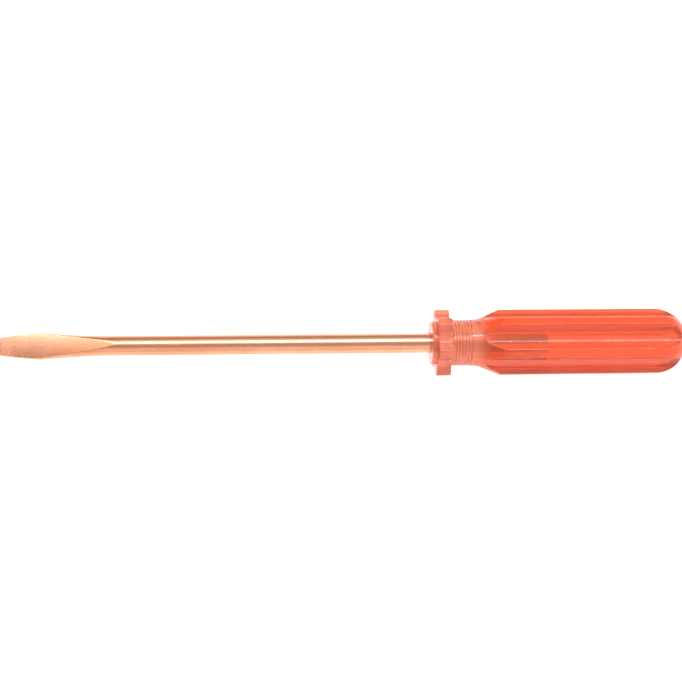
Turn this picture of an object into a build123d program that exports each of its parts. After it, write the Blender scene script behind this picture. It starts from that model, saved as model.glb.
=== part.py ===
from build123d import *
import math
import os

# Slotted screwdriver with a flared bronze blade in a fluted translucent handle.
# Frame: the tool's axis lies along X. The origin is the centre of the tip's end face, the handle is
# towards +X, and the broad faces of the tip face +Z and -Z. Millimetres.

# Blade: tip, shank and tang
EXPOSED_LENGTH = 203.0
SHANK_RADIUS = 4.7
TIP_HALF_WIDTH = 4.2
TIP_HALF_THICKNESS = 0.75
SHOULDER_X = 19.5
SHOULDER_HALF_WIDTH = 6.35
FLARE_END_X = 47.0
FLARE_BOW = 1.4
FLARE_STATIONS = 5
GROUND_LENGTH = 5.5
GROUND_HALF_THICKNESS = 1.1
FLAT_END_X = 53.0
TIP_EDGE_BREAK = 0.2

TANG_LENGTH = 55.7
TANG_END_CHAMFER = 1.0
TANG_FLAT_LENGTH = 10.0
TANG_FLAT_HALF_THICKNESS = 3.8
BARB_COUNT = 6
BARB_PITCH = 1.1
BARB_DEPTH = 0.45
BARB_TAIL = 1.2

# Handle: fluted bar, turned at the front and domed at the back
HANDLE_LENGTH = 125.4
BAR_RADIUS = 15.9
FLUTE_COUNT = 6
FLUTE_HALF_ANGLE = 22.0
FLUTE_FLOOR_RADIUS = 12.35
FLUTE_FLOOR_HALF_WIDTH = 2.4
FLUTE_CORNER_RADIUS = 1.5
BOSS_RADIUS = 10.4
BOSS_LENGTH = 2.2
COLLAR_LENGTH = 6.9
NECK_RADIUS = 11.25
NECK_LENGTH = 10.8
NECK_RING_COUNT = 6
NECK_RING_PITCH = 1.5
NECK_RING_DEPTH = 0.45
FLARE_ANGLE = 22.7
FLARE_BEND_RADIUS = 12.0
DOME_FLAT_RADIUS = 0.6
EDGE_BREAK = 0.4
MOUTH_CHAMFER = 0.5
BAR_ALLOWANCE = 5.0
STOCK_RADIUS = 16.9
CUTTER_ALLOWANCE = 0.5

# Clearance all round between the tang and the cavity that it fills
TANG_CLEARANCE = 0.04

# Stations along the tool
HANDLE_FRONT_X = EXPOSED_LENGTH
COLLAR_FRONT_X = HANDLE_FRONT_X + BOSS_LENGTH
COLLAR_BACK_X = COLLAR_FRONT_X + COLLAR_LENGTH
NECK_END_X = COLLAR_BACK_X + NECK_LENGTH
HANDLE_END_X = HANDLE_FRONT_X + HANDLE_LENGTH
DOME_START_X = HANDLE_END_X - math.sqrt(BAR_RADIUS ** 2 - DOME_FLAT_RADIUS ** 2)
TANG_END_X = HANDLE_FRONT_X + TANG_LENGTH
BARBS_START_X = TANG_END_X - BARB_TAIL - BARB_COUNT * BARB_PITCH
TANG_FLAT_START_X = BARBS_START_X - TANG_FLAT_LENGTH


def revolved(points):
    """Solid of revolution about the tool's axis from (x, radius) points that start and end on it."""
    return revolve(make_face(Polyline(*points, close=True)), Axis.X)


def flare_half_width(x):
    """Half-width of the forged tip at a station: bowed out to the shoulder, then in to the shank."""
    if x <= SHOULDER_X:
        left = (SHOULDER_X - x) / SHOULDER_X
        return SHOULDER_HALF_WIDTH - (SHOULDER_HALF_WIDTH - TIP_HALF_WIDTH) * left ** FLARE_BOW
    left = (FLARE_END_X - x) / (FLARE_END_X - SHOULDER_X)
    return SHANK_RADIUS + (SHOULDER_HALF_WIDTH - SHANK_RADIUS) * left ** FLARE_BOW


def flare_loft(start, end):
    """Loft of oval sections between two stations. Each is as wide as the flare, as deep as the shank."""
    sections = []
    for i in range(FLARE_STATIONS):
        x = start + (end - start) * i / (FLARE_STATIONS - 1)
        plane = Plane(origin=(x, 0, 0), x_dir=(0, 1, 0), z_dir=(1, 0, 0))
        sections.append(plane * Ellipse(flare_half_width(x), SHANK_RADIUS))
    return loft(sections)


def tip_faces():
    """The space between the two broad faces: ground near the end, then tapered out to the shank."""
    upper = [
        (0, TIP_HALF_THICKNESS),
        (GROUND_LENGTH, GROUND_HALF_THICKNESS),
        (FLAT_END_X, SHANK_RADIUS),
        (FLAT_END_X, 2 * SHANK_RADIUS),
        (TANG_END_X, 2 * SHANK_RADIUS),
    ]
    lower = [(x, -z) for x, z in reversed(upper)]
    outline = make_face(Plane.XZ * Polyline(*upper, *lower, close=True))
    return extrude(outline, 2 * SHOULDER_HALF_WIDTH, both=True)


def tang_profile(clearance):
    """Half-outline of the round tang, with ring barbs near its end, grown by a clearance."""
    radius = SHANK_RADIUS + clearance
    points = [(HANDLE_FRONT_X - clearance, 0), (HANDLE_FRONT_X - clearance, radius)]
    for i in range(BARB_COUNT):
        x = BARBS_START_X + i * BARB_PITCH
        points.append((x, radius))
        points.append((x + clearance, radius - BARB_DEPTH))
    points.append((BARBS_START_X + BARB_COUNT * BARB_PITCH, radius))
    end = TANG_END_X + clearance
    points.append((end - TANG_END_CHAMFER, radius))
    points.append((end, radius - TANG_END_CHAMFER))
    points.append((end, 0))
    return points


def tang(clearance):
    """Tang with two flats that stop it from turning, or with a clearance the cavity that holds it."""
    start = TANG_FLAT_START_X + clearance
    end = BARBS_START_X - clearance
    height = TANG_FLAT_HALF_THICKNESS + clearance
    outline = make_face(Plane.XZ * Polyline(
        (start, height),
        (end, height),
        (end, 2 * height),
        (start, 2 * height),
        close=True,
    ))
    above = extrude(outline, 2 * SHANK_RADIUS, both=True)
    return revolved(tang_profile(clearance)) - above - mirror(above, about=Plane.XY)


def blade():
    """Blade in one piece: forged flared tip, round shank and tang."""
    flare = flare_loft(0, SHOULDER_X) + flare_loft(SHOULDER_X, FLARE_END_X)
    shank = revolved([
        (FLARE_END_X, 0),
        (FLARE_END_X, SHANK_RADIUS),
        (HANDLE_FRONT_X, SHANK_RADIUS),
        (HANDLE_FRONT_X, 0),
    ])
    body = (flare + shank) & tip_faces()
    end_edges = body.faces().sort_by(Axis.X)[0].edges()
    body = chamfer(end_edges, TIP_EDGE_BREAK)
    return body + tang(0)


def flute_cutter():
    """Section of one flute, centred on the Y axis: a flat floor, rounded corners and sloping sides."""
    edge_across = BAR_RADIUS * math.sin(math.radians(FLUTE_HALF_ANGLE))
    edge_out = BAR_RADIUS * math.cos(math.radians(FLUTE_HALF_ANGLE))
    spread = (edge_across - FLUTE_FLOOR_HALF_WIDTH) / (edge_out - FLUTE_FLOOR_RADIUS)
    top_out = STOCK_RADIUS + CUTTER_ALLOWANCE
    top_across = FLUTE_FLOOR_HALF_WIDTH + (top_out - FLUTE_FLOOR_RADIUS) * spread
    outline = make_face(Polyline(
        (-FLUTE_FLOOR_HALF_WIDTH, FLUTE_FLOOR_RADIUS),
        (FLUTE_FLOOR_HALF_WIDTH, FLUTE_FLOOR_RADIUS),
        (top_across, top_out),
        (-top_across, top_out),
        close=True,
    ))
    floor_corners = outline.vertices().sort_by(Axis.Y)[:2]
    return fillet(floor_corners, FLUTE_CORNER_RADIUS)


def fluted_bar():
    """Stock for the handle: a bar with flutes along it, one centred on each broad face of the tip."""
    section = Circle(STOCK_RADIUS) - PolarLocations(0, FLUTE_COUNT) * flute_cutter()
    bar_start = HANDLE_FRONT_X - BAR_ALLOWANCE
    plane = Plane(origin=(bar_start, 0, 0), x_dir=(0, 1, 0), z_dir=(1, 0, 0))
    return extrude(plane * section, HANDLE_LENGTH + 2 * BAR_ALLOWANCE)


def neck_points():
    """Half-outline of the neck: a row of fine rings with narrow grooves between them."""
    points = []
    for i in range(NECK_RING_COUNT):
        x = COLLAR_BACK_X + i * NECK_RING_PITCH
        points.append((x, NECK_RADIUS - NECK_RING_DEPTH))
        points.append((x + NECK_RING_PITCH / 2, NECK_RADIUS))
    rings_end = COLLAR_BACK_X + NECK_RING_COUNT * NECK_RING_PITCH
    points.append((rings_end, NECK_RADIUS - NECK_RING_DEPTH))
    points.append((rings_end + NECK_RING_PITCH / 2, NECK_RADIUS))
    return points


def turned_envelope():
    """Solid of revolution that the bar is turned down to: boss, collar, neck, flare and dome."""
    front = Polyline(
        (HANDLE_FRONT_X, 0),
        (HANDLE_FRONT_X, BOSS_RADIUS - EDGE_BREAK),
        (HANDLE_FRONT_X + EDGE_BREAK, BOSS_RADIUS),
        (COLLAR_FRONT_X, BOSS_RADIUS),
        (COLLAR_FRONT_X, BAR_RADIUS - EDGE_BREAK),
        (COLLAR_FRONT_X + EDGE_BREAK, BAR_RADIUS),
        (COLLAR_BACK_X - EDGE_BREAK, BAR_RADIUS),
        (COLLAR_BACK_X, BAR_RADIUS - EDGE_BREAK),
        *neck_points(),
        (NECK_END_X, NECK_RADIUS),
    )
    turn = math.radians(FLARE_ANGLE)
    bend_end = (
        NECK_END_X + FLARE_BEND_RADIUS * math.sin(turn),
        NECK_RADIUS + FLARE_BEND_RADIUS * (1 - math.cos(turn)),
    )
    body_start = bend_end[0] + (BAR_RADIUS - bend_end[1]) / math.tan(turn)
    bend = TangentArc((NECK_END_X, NECK_RADIUS), bend_end, tangent=(1, 0))
    flare = Line(bend_end, (body_start, BAR_RADIUS))
    body = Line((body_start, BAR_RADIUS), (DOME_START_X, BAR_RADIUS))
    flat_turn = math.degrees(math.asin(DOME_FLAT_RADIUS / BAR_RADIUS))
    dome = CenterArc((DOME_START_X, 0), BAR_RADIUS, flat_turn, 90 - flat_turn)
    back = Polyline(dome @ 0, (HANDLE_END_X, 0), (HANDLE_FRONT_X, 0))
    return revolve(make_face([front, bend, flare, body, dome, back]), Axis.X)


def mouth():
    """Small countersink where the blade enters the handle."""
    radius = SHANK_RADIUS + TANG_CLEARANCE
    return revolved([
        (HANDLE_FRONT_X, 0),
        (HANDLE_FRONT_X, radius + MOUTH_CHAMFER),
        (HANDLE_FRONT_X + MOUTH_CHAMFER, radius),
        (HANDLE_FRONT_X + MOUTH_CHAMFER, 0),
    ])


def handle():
    """Handle in one piece, with the cavity that the tang fills."""
    return (fluted_bar() & turned_envelope()) - tang(TANG_CLEARANCE) - mouth()


os.makedirs("parts", exist_ok=True)
PIECES = {
    "blade": blade(),
    "handle": handle(),
}
for name, piece in PIECES.items():
    export_step(piece, f"parts/{name}.step")
    print(name, "volume", round(piece.volume), "mm3")
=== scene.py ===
import math

import bmesh
import bpy
from mathutils import Matrix, Vector


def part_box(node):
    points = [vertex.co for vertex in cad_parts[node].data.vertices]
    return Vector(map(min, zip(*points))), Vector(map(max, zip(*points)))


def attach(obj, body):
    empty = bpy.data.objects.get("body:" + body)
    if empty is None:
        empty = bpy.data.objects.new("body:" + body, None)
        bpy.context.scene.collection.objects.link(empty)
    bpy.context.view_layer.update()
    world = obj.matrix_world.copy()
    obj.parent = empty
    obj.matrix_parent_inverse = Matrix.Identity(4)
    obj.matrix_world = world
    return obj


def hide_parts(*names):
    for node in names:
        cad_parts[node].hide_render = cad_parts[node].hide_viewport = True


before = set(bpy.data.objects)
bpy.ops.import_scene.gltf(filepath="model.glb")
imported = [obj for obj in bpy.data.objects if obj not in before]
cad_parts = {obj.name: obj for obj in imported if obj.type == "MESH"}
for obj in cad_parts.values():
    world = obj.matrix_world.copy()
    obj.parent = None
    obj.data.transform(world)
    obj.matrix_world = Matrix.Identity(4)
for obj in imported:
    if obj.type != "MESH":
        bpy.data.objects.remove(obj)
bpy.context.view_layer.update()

# Slotted screwdriver with a flared bronze blade in a translucent fluted handle.
# Metres, in the frame of the CAD model: the tool lies along X with its tip at the origin.
MM = 0.001

# Stations along the tool, from the boxes of the two pieces
blade_low, blade_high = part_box("blade")
handle_low, handle_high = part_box("handle")
TIP_X = blade_low.x
TANG_END_X = blade_high.x
FRONT_X = handle_low.x
END_X = handle_high.x

# Blade
SHANK_RADIUS = 4.7 * MM
TIP_HALF_WIDTH = 4.2 * MM
TIP_HALF_THICKNESS = 0.75 * MM
SHOULDER_X = 19.5 * MM
SHOULDER_HALF_WIDTH = 6.35 * MM
FLARE_END_X = 47.0 * MM
FLARE_BOW = 1.4
GROUND_LENGTH = 5.5 * MM
GROUND_HALF_THICKNESS = 1.1 * MM
FLAT_END_X = 53.0 * MM
TIP_EDGE_BREAK = 0.2 * MM
FACE_EDGE_ROUND = 0.12 * MM
FACE_CROWN = 0.18 * MM
TANG_CHAMFER = 1.0 * MM
TANG_FLAT_LENGTH = 10.0 * MM
TANG_FLAT_HALF_THICKNESS = 3.8 * MM
BARB_COUNT = 6
BARB_PITCH = 1.1 * MM
BARB_DEPTH = 0.45 * MM
BARB_TAIL = 1.2 * MM
BARB_RISE_SHARE = 0.6
BARB_DEPTH_LEFT = 0.4
BARBS_START_X = TANG_END_X - BARB_TAIL - BARB_COUNT * BARB_PITCH
TANG_FLAT_START_X = BARBS_START_X - TANG_FLAT_LENGTH
TANG_FIRST_X = FRONT_X + 1.0 * MM
TANG_PLAIN_X = FRONT_X + 2.0 * MM

# Length along the tang that a step in its outline takes, and a small lead before each barb's edge
STEP_RUN = 0.02 * MM
BARB_GAP = 0.05 * MM

# Share of their full crown that the broad faces have at the tip's end
CROWN_AT_END = 0.4

# Handle
BAR_RADIUS = 15.9 * MM
FLUTE_COUNT = 6
FLUTE_HALF_ANGLE = math.radians(22.0)
FLUTE_FLOOR_RADIUS = 12.35 * MM
FLUTE_FLOOR_HALF_WIDTH = 2.4 * MM
FLUTE_CORNER_ROUND = 1.0 * MM
FLUTE_EDGE_ROUND = 0.7 * MM
BOSS_RADIUS = 10.4 * MM
COLLAR_FRONT_X = FRONT_X + 2.2 * MM
COLLAR_BACK_X = COLLAR_FRONT_X + 6.9 * MM
NECK_RADIUS = 11.25 * MM
NECK_LENGTH = 10.8 * MM
NECK_RING_COUNT = 6
NECK_RING_PITCH = 1.5 * MM
NECK_RING_DEPTH = 0.45 * MM
RINGS_END_X = COLLAR_BACK_X + NECK_RING_COUNT * NECK_RING_PITCH
NECK_END_X = COLLAR_BACK_X + NECK_LENGTH
FLARE_ANGLE = math.radians(22.7)
FLARE_BEND_RADIUS = 12.0 * MM
EDGE_BREAK = 0.4 * MM
MOUTH_CHAMFER = 0.5 * MM
TANG_CLEARANCE = 0.04 * MM
DOME_START_X = END_X - BAR_RADIUS
CREASE_ROUND = 0.15 * MM

# Steps round a quarter of the blade: below, within and above the stretch where they are closest.
# On the shank this stretch is between two angles. On the tip it follows the edge of the broad face.
BLADE_STEPS = (8, 10, 14)
SHANK_LOW = math.radians(61)
SHANK_HIGH = math.radians(69)
EDGE_ANGLE_MAX = math.radians(65)
EDGE_REACH = math.radians(4)
EDGE_REACH_SHARE = 0.6

# Rings along each stretch of the blade, from the tip to the tang
GROUND_RINGS = 12
WIDENING_RINGS = 28
NARROWING_RINGS = 44
RUN_OUT_RINGS = 16
SHANK_RINGS = 40
TANG_RINGS = 12
TANG_FLAT_RINGS = 6

# Degrees from a flute's centre where the steps change, and the steps in each stretch
FLUTE_TURNS = (0, 7, 15, 18, 25)
FLUTE_STEPS = (3, 7, 2, 9, 2)

# Rings along each stretch of the handle, from the dome to the mouth
APEX_RINGS = 21
DOME_RINGS = 48
BODY_RINGS = 24
FLARE_RINGS = 52
BEND_RINGS = 10
PLAIN_NECK_RINGS = 4
COLLAR_FACE_RINGS = 8
EDGE_RINGS = 4
COLLAR_RINGS = 6
BOSS_RINGS = 5
BOSS_FACE_RINGS = 8

# Angle on the dome, short of where the flutes start, from which its rings are closer together
DOME_MARGIN = math.radians(3)

# Share of the way from a crest down to the bottom of the next groove, along and in depth
RING_SHAPE = ((0, 0), (0.15, 0.06), (0.85, 0.94))


# ---------------------------------------------------------------- mesh building

def skin(name, rings, material):
    """Closed mesh through a list of rings of points. The first and last rings are single points."""
    mesh = bmesh.new()
    made = [[mesh.verts.new(p) for p in ring] for ring in rings]
    for i in range(len(made) - 1):
        first, second = made[i], made[i + 1]
        count = max(len(first), len(second))
        for j in range(count):
            k = (j + 1) % count
            if len(first) == 1:
                corners = (first[0], second[k], second[j])
            elif len(second) == 1:
                corners = (first[j], first[k], second[0])
            else:
                corners = (first[j], first[k], second[k], second[j])
            mesh.faces.new(corners).smooth = True
    bmesh.ops.recalc_face_normals(mesh, faces=mesh.faces)
    data = bpy.data.meshes.new(name)
    mesh.to_mesh(data)
    mesh.free()
    data.materials.append(material)
    piece = bpy.data.objects.new(name, data)
    bpy.context.scene.collection.objects.link(piece)
    return piece


def spread(start, end, count):
    """Evenly spaced numbers from start up to, but not including, end."""
    return [start + (end - start) * i / count for i in range(count)]


def soft_min(a, b, blend):
    """The smaller of two lengths, rounded off where they are nearly equal."""
    near = max(blend - abs(a - b), 0.0) / blend
    return min(a, b) - near * near * blend / 4


def soft_max(a, b, blend):
    """The larger of two lengths, rounded off where they are nearly equal."""
    return -soft_min(-a, -b, blend)


# ---------------------------------------------------------------- blade

def all_round(low, high, steps):
    """A turn of angles, the same in each quarter, closer together between low and high."""
    quarter = math.pi / 2
    first = spread(0, low, steps[0])
    first += spread(low, high, steps[1])
    first += spread(high, quarter, steps[2])
    half = first + [quarter] + [math.pi - a for a in reversed(first)]
    return half + [math.pi + a for a in half[1:-1]]


def half_width(x):
    """Half-width of the forged tip: bowed out to the shoulder, then in to the shank."""
    if x <= SHOULDER_X:
        left = (SHOULDER_X - x) / SHOULDER_X
        return SHOULDER_HALF_WIDTH - (SHOULDER_HALF_WIDTH - TIP_HALF_WIDTH) * left ** FLARE_BOW
    left = max(FLARE_END_X - x, 0.0) / (FLARE_END_X - SHOULDER_X)
    return SHANK_RADIUS + (SHOULDER_HALF_WIDTH - SHANK_RADIUS) * left ** FLARE_BOW


def half_depth(x):
    """Half-thickness between the two broad faces."""
    if x <= GROUND_LENGTH:
        gain = GROUND_HALF_THICKNESS - TIP_HALF_THICKNESS
        return TIP_HALF_THICKNESS + gain * x / GROUND_LENGTH
    part = (x - GROUND_LENGTH) / (FLAT_END_X - GROUND_LENGTH)
    return GROUND_HALF_THICKNESS + (SHANK_RADIUS - GROUND_HALF_THICKNESS) * part


def tip_ring(x, inset=0.0):
    """Section of the tip: an oval cut by the two slightly crowned faces, its long edges rounded."""
    width = half_width(x) - inset
    depth = half_depth(x) - inset
    edge = min(math.asin(min(depth / SHANK_RADIUS, 1.0)), EDGE_ANGLE_MAX)
    reach = min(EDGE_REACH, edge * EDGE_REACH_SHARE)
    crown = FACE_CROWN * min(CROWN_AT_END + x / SHOULDER_X, 1.0)
    ring = []
    for a in all_round(edge - reach, edge + reach, BLADE_STEPS):
        height = SHANK_RADIUS * abs(math.sin(a))
        face = depth - crown * (width * math.cos(a) / SHOULDER_HALF_WIDTH) ** 2
        z = soft_min(height, face, FACE_EDGE_ROUND) if depth < SHANK_RADIUS else height
        ring.append(Vector((x, width * math.cos(a), math.copysign(z, math.sin(a)))))
    return ring


def tang_ring(x, radius, angles, height=None):
    """Section of the tang: round, or cut to a height above and below by its two flats."""
    height = height or radius
    ring = []
    for a in angles:
        z = max(-height, min(radius * math.sin(a), height))
        ring.append(Vector((x, radius * math.cos(a), z)))
    return ring


def tang_rings(angles, grow):
    """Rings along the tang from inside the handle's front to its end, flats and barbs included."""
    radius = SHANK_RADIUS + grow
    flat = TANG_FLAT_HALF_THICKNESS + grow
    flat_start = TANG_FLAT_START_X + grow
    flat_end = BARBS_START_X - grow
    flat_stations = spread(flat_start, flat_end, TANG_FLAT_RINGS) + [flat_end]
    rings = [tang_ring(x, radius, angles) for x in spread(TANG_PLAIN_X, flat_start, TANG_RINGS)]
    rings.append(tang_ring(flat_start - STEP_RUN, radius, angles))
    rings += [tang_ring(x, radius, angles, flat) for x in flat_stations]
    rings.append(tang_ring(flat_end + STEP_RUN, radius, angles))
    for i in range(BARB_COUNT):
        x = BARBS_START_X + i * BARB_PITCH
        rings.append(tang_ring(x + BARB_GAP, radius, angles))
        rings.append(tang_ring(x + BARB_GAP + grow, radius - BARB_DEPTH, angles))
        rise_x = x + BARB_RISE_SHARE * BARB_PITCH
        rings.append(tang_ring(rise_x, radius - BARB_DEPTH_LEFT * BARB_DEPTH, angles))
    end = TANG_END_X + grow
    stations = [
        (BARBS_START_X + BARB_COUNT * BARB_PITCH, radius),
        (end - TANG_CHAMFER, radius),
        (end, radius - TANG_CHAMFER),
    ]
    return rings + [tang_ring(x, r, angles) for x, r in stations]


def blade_rings():
    """Rings of the whole blade, from the tip's end face to the end of the tang."""
    rings = [[Vector((TIP_X, 0, 0))]]
    rings.append(tip_ring(TIP_X, TIP_EDGE_BREAK))
    rings.append(tip_ring(TIP_X + TIP_EDGE_BREAK / 3, TIP_EDGE_BREAK / 3))
    stations = spread(TIP_EDGE_BREAK, GROUND_LENGTH, GROUND_RINGS)
    stations += spread(GROUND_LENGTH, SHOULDER_X, WIDENING_RINGS)
    stations += spread(SHOULDER_X, FLARE_END_X, NARROWING_RINGS)
    stations += spread(FLARE_END_X, FLAT_END_X, RUN_OUT_RINGS)
    rings += [tip_ring(x) for x in stations]
    shank = all_round(SHANK_LOW, SHANK_HIGH, BLADE_STEPS)
    round_part = spread(FLAT_END_X, FRONT_X, SHANK_RINGS) + [FRONT_X, TANG_FIRST_X]
    rings += [tang_ring(x, SHANK_RADIUS, shank) for x in round_part]
    rings += tang_rings(shank, 0.0)
    rings.append([Vector((TANG_END_X, 0, 0))])
    return rings


# ---------------------------------------------------------------- handle

def flute_section():
    """(angle, radius) points round the bar: flat flute floors, sloping sides, rounded edges."""
    edge_across = BAR_RADIUS * math.sin(FLUTE_HALF_ANGLE)
    edge_out = BAR_RADIUS * math.cos(FLUTE_HALF_ANGLE)
    side_across = edge_across - FLUTE_FLOOR_HALF_WIDTH
    side_out = edge_out - FLUTE_FLOOR_RADIUS
    side_area = FLUTE_FLOOR_RADIUS * side_across - FLUTE_FLOOR_HALF_WIDTH * side_out
    half_period = math.pi / FLUTE_COUNT

    def bar(a):
        """Radius at an angle from a flute's centre."""
        floor = FLUTE_FLOOR_RADIUS / math.cos(a)
        side = side_area / (side_across * math.cos(a) - side_out * math.sin(a))
        flute = soft_max(floor, side, FLUTE_CORNER_ROUND)
        return soft_min(flute, BAR_RADIUS, FLUTE_EDGE_ROUND)

    turns = [math.radians(a) for a in FLUTE_TURNS] + [half_period]
    half = []
    for start, end, steps in zip(turns, turns[1:], FLUTE_STEPS):
        half += [(a, bar(a)) for a in spread(start, end, steps)]
    half.append((half_period, BAR_RADIUS))
    period = [(half_period - a, r) for a, r in reversed(half)]
    period += [(half_period + a, r) for a, r in half[1:-1]]
    return [(2 * half_period * k + a, r) for k in range(FLUTE_COUNT) for a, r in period]


SECTION = flute_section()


def turned_ring(x, radius):
    """Section of the handle where the fluted bar is turned down to a radius."""
    ring = []
    for a, bar in SECTION:
        r = soft_min(radius, bar, CREASE_ROUND)
        ring.append(Vector((x, r * math.cos(a), r * math.sin(a))))
    return ring


def collar_ring(x, inset):
    """Section of the collar: the fluted outline, or a little inside it at a rounded edge."""
    ring = []
    for a, bar in SECTION:
        r = bar - inset
        ring.append(Vector((x, r * math.cos(a), r * math.sin(a))))
    return ring


def face_rings(x, inner, inset, count):
    """Rings across a flat face of the collar, from a round root out to the fluted outline."""
    rings = []
    for share in spread(0, 1, count):
        ring = []
        for a, bar in SECTION:
            r = inner + (bar - inset - inner) * share
            ring.append(Vector((x, r * math.cos(a), r * math.sin(a))))
        rings.append(ring)
    return rings


def dome_rings():
    """From the apex of the domed end out to where the flutes run full depth."""
    rings = []
    clear = math.asin(FLUTE_FLOOR_RADIUS / BAR_RADIUS) - DOME_MARGIN
    turns = spread(clear / (APEX_RINGS + 1), clear, APEX_RINGS)
    turns += spread(clear, math.pi / 2, DOME_RINGS)
    for a in turns:
        x = DOME_START_X + BAR_RADIUS * math.cos(a)
        rings.append(turned_ring(x, BAR_RADIUS * math.sin(a)))
    return rings


def body_and_flare_rings():
    """The fluted body, then the flare down to the neck."""
    bend_x = NECK_END_X + FLARE_BEND_RADIUS * math.sin(FLARE_ANGLE)
    bend_r = NECK_RADIUS + FLARE_BEND_RADIUS * (1 - math.cos(FLARE_ANGLE))
    body_x = bend_x + (BAR_RADIUS - bend_r) / math.tan(FLARE_ANGLE)
    rings = [turned_ring(x, BAR_RADIUS) for x in spread(DOME_START_X, body_x, BODY_RINGS)]
    for x in spread(body_x, bend_x, FLARE_RINGS):
        rings.append(turned_ring(x, BAR_RADIUS - (body_x - x) * math.tan(FLARE_ANGLE)))
    for turn in spread(FLARE_ANGLE, 0, BEND_RINGS):
        x = NECK_END_X + FLARE_BEND_RADIUS * math.sin(turn)
        rings.append(turned_ring(x, NECK_RADIUS + FLARE_BEND_RADIUS * (1 - math.cos(turn))))
    return rings


def neck_rings():
    """The plain end of the neck, then turned rings with V-shaped grooves between them."""
    plain = spread(NECK_END_X, RINGS_END_X + NECK_RING_PITCH / 2, PLAIN_NECK_RINGS)
    rings = [turned_ring(x, NECK_RADIUS) for x in plain]
    for i in range(2 * NECK_RING_COUNT + 1, 0, -1):
        start = COLLAR_BACK_X + i * NECK_RING_PITCH / 2
        for along, depth in RING_SHAPE:
            x = start - along * NECK_RING_PITCH / 2
            groove = depth if i % 2 else 1 - depth
            rings.append(turned_ring(x, NECK_RADIUS - NECK_RING_DEPTH * groove))
    return rings


def collar_and_boss_rings():
    """The fluted collar, with its back and front faces, and the round boss in front of it."""
    root = NECK_RADIUS - NECK_RING_DEPTH
    edge = []
    for a in spread(0, math.pi / 2, EDGE_RINGS) + [math.pi / 2]:
        edge.append((EDGE_BREAK * (1 - math.sin(a)), EDGE_BREAK * (1 - math.cos(a))))

    rings = face_rings(COLLAR_BACK_X, root, EDGE_BREAK, COLLAR_FACE_RINGS)
    rings += [collar_ring(COLLAR_BACK_X - along, inset) for inset, along in edge]
    middle = spread(COLLAR_BACK_X - EDGE_BREAK, COLLAR_FRONT_X + EDGE_BREAK, COLLAR_RINGS)[1:]
    rings += [collar_ring(x, 0.0) for x in middle]
    rings += [collar_ring(COLLAR_FRONT_X + along, inset) for inset, along in reversed(edge)]
    rings += reversed(face_rings(COLLAR_FRONT_X, BOSS_RADIUS, EDGE_BREAK, COLLAR_FACE_RINGS))

    mouth = SHANK_RADIUS + TANG_CLEARANCE
    face = spread(BOSS_RADIUS - EDGE_BREAK, mouth + MOUTH_CHAMFER, BOSS_FACE_RINGS)[1:]
    boss_side = spread(COLLAR_FRONT_X, FRONT_X + EDGE_BREAK, BOSS_RINGS)[1:]
    boss = [(x, BOSS_RADIUS) for x in boss_side]
    boss += [(FRONT_X + along, BOSS_RADIUS - inset) for inset, along in reversed(edge)]
    boss += [(FRONT_X, r) for r in face]
    boss.append((FRONT_X, mouth + MOUTH_CHAMFER))
    boss.append((FRONT_X + MOUTH_CHAMFER / 2, mouth + MOUTH_CHAMFER / 2))
    boss.append((FRONT_X + MOUTH_CHAMFER, mouth))
    return rings + [turned_ring(x, r) for x, r in boss]


def cavity_rings():
    """The cavity that the tang fills, from the mouth to its closed end."""
    return tang_rings([a for a, _ in SECTION], TANG_CLEARANCE)


def handle_rings():
    """Rings of the whole handle: the outside from the domed end to the mouth, then the cavity."""
    outside = dome_rings() + body_and_flare_rings() + neck_rings() + collar_and_boss_rings()
    apex = [Vector((END_X, 0, 0))]
    end = [Vector((TANG_END_X + TANG_CLEARANCE, 0, 0))]
    return [apex] + outside + cavity_rings() + [end]


# ---------------------------------------------------------------- materials

# Depth that the height of 0 to 1 of each fine relief stands for
BLADE_LINE_DEPTH = 0.006 * MM
FORGED_DEPTH = 0.008 * MM
BLADE_SCRATCH_DEPTH = 0.004 * MM
PLASTIC_LINE_DEPTH = 0.006 * MM
PLASTIC_SCRATCH_DEPTH = 0.003 * MM
MILLED_SHARE = 0.3

# Where the looks change along the tool, or out from its axis
GRIND_FADE = 2.5 * MM
TANG_BRIGHT_X = FRONT_X + 24 * MM
TANG_DARK_X = FRONT_X + 38 * MM
MILLED_FROM_X = NECK_END_X + 9 * MM
LATHED_TO_X = NECK_END_X + 1 * MM
BORE_OUTER = 6.0 * MM
BORE_INNER = 5.2 * MM

BRONZE_PALE = (0.95, 0.44, 0.27, 1)
BRONZE_WARM = (0.86, 0.36, 0.20, 1)
BRONZE_LINES = (0.78, 0.34, 0.20, 1)
BRONZE_SPECKS = (0.42, 0.20, 0.12, 1)
TANG_DARK = (0.08, 0.05, 0.05, 1)
PLASTIC_PALE = (0.93, 0.20, 0.075, 1)
PLASTIC_DEEP = (0.91, 0.17, 0.055, 1)
PLASTIC_TURNED = (1.0, 0.45, 0.29, 1)
PLASTIC_BORE = (1.0, 0.94, 0.90, 1)
PLASTIC_INSIDE = (0.97, 0.26, 0.09, 1)
PLASTIC_DENSITY = 54
PLASTIC_CLARITY = 0.66
PLASTIC_IOR = 1.48


def new_material(name):
    """Node material with its tree, its shader joined to the surface, and its output."""
    material = bpy.data.materials.new(name)
    material.use_nodes = True
    tree = material.node_tree
    tree.nodes.clear()
    output = tree.nodes.new("ShaderNodeOutputMaterial")
    shader = tree.nodes.new("ShaderNodeBsdfPrincipled")
    tree.links.new(shader.outputs["BSDF"], output.inputs["Surface"])
    return material, tree, shader, output


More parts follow.
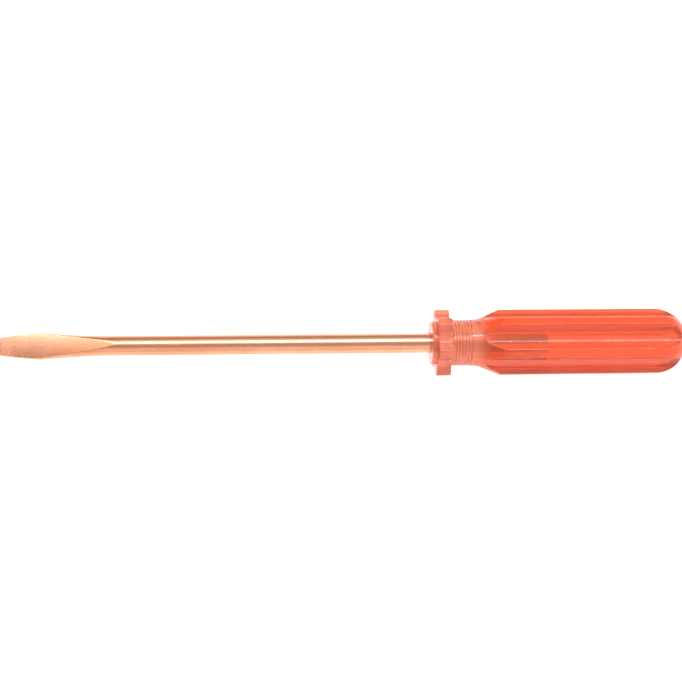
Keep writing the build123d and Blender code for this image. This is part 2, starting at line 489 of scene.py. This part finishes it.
class Nodes:
    """Short ways to add and join shader nodes in one tree."""

    def __init__(self, tree):
        self.tree = tree
        self.place = self.add("ShaderNodeTexCoord").outputs["Object"]

    def add(self, kind, **settings):
        """New node of this kind with these settings."""
        node = self.tree.nodes.new(kind)
        for key, value in settings.items():
            setattr(node, key, value)
        return node

    def join(self, value, socket):
        """Link an output to a socket, or set a plain value on it."""
        if isinstance(value, bpy.types.NodeSocket):
            self.tree.links.new(value, socket)
        else:
            socket.default_value = value

    def calc(self, operation, a, b):
        """Result of one step of arithmetic."""
        node = self.add("ShaderNodeMath", operation=operation)
        self.join(a, node.inputs[0])
        self.join(b, node.inputs[1])
        return node.outputs[0]

    def along(self, name):
        """One coordinate of the piece's own frame, in metres."""
        split = self.add("ShaderNodeSeparateXYZ")
        self.join(self.place, split.inputs[0])
        return split.outputs[name]

    def noise(self, cells, detail=3.0, rough=0.55, distortion=0.0):
        """Noise with this many cells per metre along X, Y and Z."""
        mapping = self.add("ShaderNodeMapping")
        self.join(self.place, mapping.inputs["Vector"])
        mapping.inputs["Scale"].default_value = cells
        node = self.add("ShaderNodeTexNoise")
        self.join(mapping.outputs[0], node.inputs["Vector"])
        node.inputs["Scale"].default_value = 1.0
        node.inputs["Detail"].default_value = detail
        node.inputs["Roughness"].default_value = rough
        node.inputs["Distortion"].default_value = distortion
        return node.outputs["Fac"]

    def window(self, value, low, high, start=0.0, end=1.0):
        """The value's share of the way from low to high, as a smooth number from start to end."""
        node = self.add("ShaderNodeMapRange", interpolation_type="SMOOTHSTEP")
        self.join(value, node.inputs["Value"])
        node.inputs["From Min"].default_value = low
        node.inputs["From Max"].default_value = high
        node.inputs["To Min"].default_value = start
        node.inputs["To Max"].default_value = end
        return node.outputs[0]

    def blend(self, share, a, b):
        """Colour between a and b."""
        node = self.add("ShaderNodeMix", data_type="RGBA")
        self.join(share, node.inputs["Factor"])
        self.join(a, node.inputs["A"])
        self.join(b, node.inputs["B"])
        return node.outputs["Result"]

    def bump(self, height, depth, below=None):
        """Normal from a height of 0 to 1 that stands for a depth in metres."""
        node = self.add("ShaderNodeBump")
        node.inputs["Strength"].default_value = 1.0
        node.inputs["Distance"].default_value = depth
        self.join(height, node.inputs["Height"])
        if below is not None:
            self.join(below, node.inputs["Normal"])
        return node.outputs["Normal"]


def bronze_material():
    """Copper-coloured bronze: drawn along the shank, ground across the tip, lightly tarnished, and
    dark and rougher along the tang inside the handle.
    """
    material, tree, shader, _ = new_material("bronze")
    n = Nodes(tree)
    x = n.along("X")

    drawn = n.noise((45, 2600, 2600), 4.0)
    fine_drawn = n.noise((160, 9000, 9000), 2.0)
    ground = n.noise((1700, 90, 90), 4.0)
    on_tip = n.window(x, GROUND_LENGTH + GRIND_FADE, GROUND_LENGTH - GRIND_FADE)
    forged = n.noise((420, 420, 420), 3.0, 0.6)
    cloud = n.noise((38, 90, 90), 4.0, 0.6, 0.4)
    speck = n.window(n.noise((1500, 1500, 1500), 2.0), 0.70, 0.78)
    scratch = n.window(n.noise((700, 2300, 2300), 1.0, 0.5, 1.6), 0.66, 0.70)

    colour = n.blend(n.window(cloud, 0.35, 0.68), BRONZE_PALE, BRONZE_WARM)
    colour = n.blend(n.window(drawn, 0.42, 0.70, 0.0, 0.35), colour, BRONZE_LINES)
    colour = n.blend(n.calc("MULTIPLY", speck, 0.6), colour, BRONZE_SPECKS)
    # Dark and rougher along the tang inside the handle, from TANG_BRIGHT_X to TANG_DARK_X
    in_handle = n.window(x, TANG_BRIGHT_X, TANG_DARK_X)
    colour = n.blend(in_handle, colour, TANG_DARK)
    n.join(colour, shader.inputs["Base Color"])
    shader.inputs["Metallic"].default_value = 1.0

    rough = n.window(cloud, 0.3, 0.75, 0.17, 0.27)
    rough = n.calc("ADD", rough, n.window(fine_drawn, 0.35, 0.7, -0.02, 0.07))
    rough = n.calc("ADD", rough, n.calc("MULTIPLY", in_handle, 0.15))
    n.join(rough, shader.inputs["Roughness"])

    across = n.calc("MULTIPLY", ground, on_tip)
    lines = n.calc("MULTIPLY", drawn, n.calc("SUBTRACT", 1.0, on_tip))
    normal = n.bump(n.calc("ADD", across, lines), BLADE_LINE_DEPTH)
    normal = n.bump(forged, FORGED_DEPTH, normal)
    normal = n.bump(scratch, -BLADE_SCRATCH_DEPTH, normal)
    n.join(normal, shader.inputs["Normal"])
    return material


def plastic_material():
    """Translucent red-orange plastic: milled flutes, lathe-turned front, scratches and haze."""
    material, tree, shader, output = new_material("clear_orange_plastic")
    n = Nodes(tree)
    x = n.along("X")

    haze = n.noise((60, 140, 140), 4.0, 0.6, 0.3)
    milled = n.noise((50, 1700, 1700), 3.0)
    turned = n.noise((4200, 120, 120), 2.0)
    on_lathe = n.window(x, MILLED_FROM_X, LATHED_TO_X)
    scratch = n.window(n.noise((420, 1900, 1900), 1.0, 0.5, 1.8), 0.67, 0.71)
    scuff = n.window(n.noise((900, 900, 900), 3.0, 0.7), 0.62, 0.74)

    colour = n.blend(n.window(haze, 0.32, 0.70), PLASTIC_PALE, PLASTIC_DEEP)
    colour = n.blend(n.calc("MULTIPLY", on_lathe, 0.7), colour, PLASTIC_TURNED)
    across = n.add("ShaderNodeVectorMath", operation="MULTIPLY")
    n.join(n.place, across.inputs[0])
    across.inputs[1].default_value = (0, 1, 1)
    reach = n.add("ShaderNodeVectorMath", operation="LENGTH")
    n.join(across.outputs[0], reach.inputs[0])
    in_bore = n.window(reach.outputs["Value"], BORE_OUTER, BORE_INNER)
    colour = n.blend(in_bore, colour, PLASTIC_BORE)
    n.join(colour, shader.inputs["Base Color"])
    shader.inputs["Transmission Weight"].default_value = PLASTIC_CLARITY
    shader.inputs["IOR"].default_value = PLASTIC_IOR

    rough = n.window(haze, 0.3, 0.75, 0.03, 0.07)
    rough = n.calc("ADD", rough, n.calc("MULTIPLY", on_lathe, 0.06))
    rough = n.calc("ADD", rough, n.calc("MULTIPLY", scuff, 0.05))
    n.join(rough, shader.inputs["Roughness"])

    lathe = n.calc("MULTIPLY", turned, on_lathe)
    mill = n.calc("MULTIPLY", milled, n.calc("SUBTRACT", 1.0, on_lathe))
    lines = n.calc("ADD", lathe, n.calc("MULTIPLY", mill, MILLED_SHARE))
    normal = n.bump(lines, PLASTIC_LINE_DEPTH)
    normal = n.bump(scratch, -PLASTIC_SCRATCH_DEPTH, normal)
    n.join(normal, shader.inputs["Normal"])

    volume = tree.nodes.new("ShaderNodeVolumeAbsorption")
    volume.inputs["Color"].default_value = PLASTIC_INSIDE
    volume.inputs["Density"].default_value = PLASTIC_DENSITY
    tree.links.new(volume.outputs["Volume"], output.inputs["Volume"])
    return material


# ---------------------------------------------------------------- pieces

blade = skin("bronze_blade", blade_rings(), bronze_material())
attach(blade, "root")
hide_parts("blade")

handle = skin("fluted_handle", handle_rings(), plastic_material())
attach(handle, "root")
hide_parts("handle")


# ---------------------------------------------------------------- stage

FLOOR_Z = handle_low.z - 110 * MM
FLOOR_HALF_SIZE = 4.0
FLOOR_NEAR = (0.95, 0.95, 0.95, 1)
# Grey far side of the floor: painted shade that stands in for a darker far side of the studio
FLOOR_FAR = (0.5, 0.5, 0.5, 1)
FLOOR_FAR_START_Y = 0.24
FLOOR_FAR_END_Y = 0.55
# Glow of the near floor: painted light that fills in the tool's shadow
FLOOR_GLOW = 0.17
FLOOR_ROUGHNESS = 0.8
WHITE = (1, 1, 1, 1)
BLACK = (0, 0, 0, 1)
scene = bpy.context.scene


def floor():
    """Plain pale floor below the tool. Its near part glows faintly: painted light that fills in the
    tool's shadow. Far off on the far side it is greyer: painted shade that stands in for a darker
    far side of the studio.
    """
    size = FLOOR_HALF_SIZE
    corners = [
        (-size, -size, FLOOR_Z),
        (size, -size, FLOOR_Z),
        (size, size, FLOOR_Z),
        (-size, size, FLOOR_Z),
    ]
    mesh = bpy.data.meshes.new("floor")
    mesh.from_pydata(corners, [], [(0, 1, 2, 3)])
    piece = bpy.data.objects.new("floor", mesh)
    scene.collection.objects.link(piece)
    material, tree, shader, _ = new_material("floor_paper")
    n = Nodes(tree)
    # Painted shade: the floor turns grey far off on the far side, for a darker far side of the
    # studio
    far = n.window(n.along("Y"), FLOOR_FAR_START_Y, FLOOR_FAR_END_Y)
    n.join(n.blend(far, FLOOR_NEAR, FLOOR_FAR), shader.inputs["Base Color"])
    # Painted light: the near floor glows white and fills in the tool's shadow; the grey far side
    # does not glow
    n.join(n.blend(far, WHITE, BLACK), shader.inputs["Emission Color"])
    shader.inputs["Emission Strength"].default_value = FLOOR_GLOW
    shader.inputs["Roughness"].default_value = FLOOR_ROUGHNESS
    mesh.materials.append(material)


# Brightness of the light tent at each angle about the tool's length: 0 degrees is straight above,
# 90 degrees the far side (+Y) and -90 degrees the near side. A bright strip is near 25 degrees.
TENT = (
    (-180, 0.9),
    (-44, 1.05),
    (-31, 0.62),
    (-20, 0.50),
    (4, 0.52),
    (12, 1.3),
    (18, 3.6),
    (22.5, 4.0),
    (23.5, 20.0),
    (26, 20.0),
    (27, 4.0),
    (32, 3.6),
    (39, 1.3),
    (58, 0.68),
    (75, 0.46),
    (100, 0.42),
    (180, 0.9),
)
TENT_MAX = 20.0

# The tent dims towards the tip's end, between these two X parts of the direction
TENT_DIM_X = -0.36
TENT_FULL_X = -0.29
TENT_DIM_SHARE = 0.3


def studio():
    """Soft light tent all round: a bright strip above, a darker far side and a white near side."""
    world = bpy.data.worlds.new("studio")
    scene.world = world
    world.use_nodes = True
    tree = world.node_tree
    place = tree.nodes.new("ShaderNodeTexCoord").outputs["Generated"]
    split = tree.nodes.new("ShaderNodeSeparateXYZ")
    tree.links.new(place, split.inputs[0])
    turn = tree.nodes.new("ShaderNodeMath")
    turn.operation = "ARCTAN2"
    tree.links.new(split.outputs["Y"], turn.inputs[0])
    tree.links.new(split.outputs["Z"], turn.inputs[1])
    share = tree.nodes.new("ShaderNodeMapRange")
    tree.links.new(turn.outputs[0], share.inputs["Value"])
    share.inputs["From Min"].default_value = -math.pi
    share.inputs["From Max"].default_value = math.pi
    ramp = tree.nodes.new("ShaderNodeValToRGB")
    tree.links.new(share.outputs[0], ramp.inputs["Fac"])
    stops = ramp.color_ramp.elements
    while len(stops) < len(TENT):
        stops.new(1.0)
    for stop, (angle, level) in zip(stops, TENT):
        grey = level / TENT_MAX
        stop.position = (angle + 180) / 360
        stop.color = (grey, grey, grey, 1)
    end = tree.nodes.new("ShaderNodeMapRange")
    end.interpolation_type = "SMOOTHSTEP"
    tree.links.new(split.outputs["X"], end.inputs["Value"])
    end.inputs["From Min"].default_value = TENT_DIM_X
    end.inputs["From Max"].default_value = TENT_FULL_X
    end.inputs["To Min"].default_value = TENT_DIM_SHARE
    dim = tree.nodes.new("ShaderNodeVectorMath")
    dim.operation = "SCALE"
    tree.links.new(ramp.outputs["Color"], dim.inputs[0])
    tree.links.new(end.outputs[0], dim.inputs["Scale"])
    background = tree.nodes["Background"]
    tree.links.new(dim.outputs[0], background.inputs["Color"])
    background.inputs["Strength"].default_value = TENT_MAX


# Camera's width of picture and focal length in millimetres, as Blender takes them
SENSOR_WIDTH = 36
FOCAL_LENGTH = 62.5

# Light bounces, enough for the many surfaces of the clear handle
BOUNCES = 32


def camera():
    """Long lens nearly straight above, leaning a little to the near side and to the tip's side."""
    aim_x = 159.9 * MM
    aim_up = 0.4 * MM
    distance = 569 * MM
    lean_near = math.radians(9.5)
    lean_tip = math.radians(4.3)
    roll = math.radians(0.5)
    back = Vector((
        -math.sin(lean_tip),
        -math.cos(lean_tip) * math.sin(lean_near),
        math.cos(lean_tip) * math.cos(lean_near),
    ))
    level = (Vector((1, 0, 0)) - back * back.x).normalized()
    upright = back.cross(level)
    right = level * math.cos(roll) - upright * math.sin(roll)
    up = upright * math.cos(roll) + level * math.sin(roll)
    data = bpy.data.cameras.new("camera")
    data.sensor_width = SENSOR_WIDTH
    data.lens = FOCAL_LENGTH
    lens = bpy.data.objects.new("camera", data)
    lens.matrix_world = Matrix((right, up, back)).transposed().to_4x4()
    lens.location = Vector((aim_x, 0, 0)) + up * aim_up + back * distance
    scene.collection.objects.link(lens)
    scene.camera = lens


floor()
studio()
camera()
scene.view_settings.view_transform = "Standard"
scene.cycles.max_bounces = BOUNCES
scene.cycles.transmission_bounces = BOUNCES
